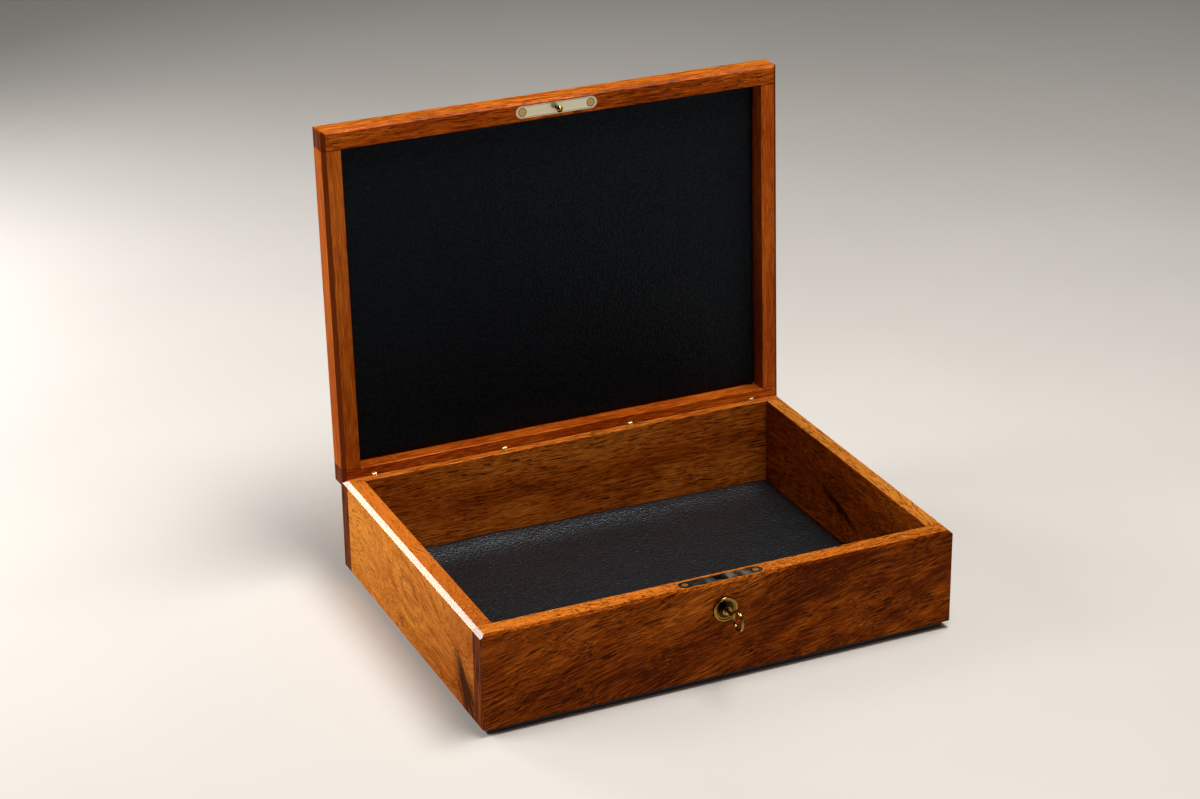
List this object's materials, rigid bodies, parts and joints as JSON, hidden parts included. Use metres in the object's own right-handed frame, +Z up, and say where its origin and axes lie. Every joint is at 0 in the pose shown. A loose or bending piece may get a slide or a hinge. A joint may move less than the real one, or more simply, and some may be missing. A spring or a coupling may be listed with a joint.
{
  "type": "document box",
  "caption": "Wooden lidded box for papers with padded leather linings, barrel hinges, and a mortised box lock with its key.",
  "frame": {"origin": "centre of the felted underside, on the surface that the box stands on", "axes": "+X to the right along the front, +Y to the back, where the hinges are, +Z up; the lid stands open"},
  "size_m": [0.36, 0.3228, 0.3428],
  "materials": {
    "wood": "gloss lacquer",
    "hinge_brass": "satin",
    "polished_brass": "polished",
    "steel": "plated",
    "leather": "pebbled",
    "lining_board": "plain board",
    "felt": "felt",
    "base_board": "black painted board"
  },
  "bodies": {
    "case": {"back_board": "wood", "base_felt": "felt", "base_panel": "base_board", "base_screws": "steel", "escutcheon": "polished_brass", "floor_board": "lining_board", "floor_leather": "leather", "front_board": "wood", "hinge_box_barrel_1": "hinge_brass", "hinge_box_barrel_2": "hinge_brass", "hinge_box_barrel_3": "hinge_brass", "hinge_box_barrel_4": "hinge_brass", "hinge_pins": "hinge_brass", "left_board": "wood", "lock_case": "steel", "lock_cover": "steel", "lock_plate": "polished_brass", "lock_plate_screws": "polished_brass", "lock_posts": "polished_brass", "right_board": "wood"},
    "lid": {"hinge_lid_barrel_1": "hinge_brass", "hinge_lid_barrel_2": "hinge_brass", "hinge_lid_barrel_3": "hinge_brass", "hinge_lid_barrel_4": "hinge_brass", "lid_back_rail": "wood", "lid_front_rail": "wood", "lid_leather": "leather", "lid_left_rail": "wood", "lid_lining_board": "lining_board", "lid_panel": "wood", "lid_right_rail": "wood", "strike_plate": "polished_brass", "strike_plate_screws": "polished_brass", "strike_stud": "polished_brass"},
    "lock_plug": {"lock_plug": "polished_brass"},
    "key": {"key": "polished_brass"},
    "lock_bolt": {"lock_bolt": "polished_brass"}
  },
  "joints": [
    {"name": "lid_swing", "type": "hinge", "parent": "case", "child": "lid", "pos_m": [0, 0.129, 0.078], "axis": [1, 0, 0], "range_deg": [0, 92]},
    {"name": "key_turn", "type": "hinge", "parent": "case", "child": "lock_plug", "pos_m": [0, -0.136, 0.057], "axis": [0, -1, 0], "range_deg": [0, 90]},
    {"name": "bolt_slide", "type": "slide", "parent": "case", "child": "lock_bolt", "axis": [-1, 0, 0], "range_m": [0, 0.00453]},
    {"name": "key_draw", "type": "slide", "parent": "lock_plug", "child": "key", "axis": [0, -1, 0], "range_m": [0, 0.015]}
  ],
  "couplings": [
    {"joint": "bolt_slide", "follows": "key_turn", "m_per_rad": 0.002881}
  ]
}
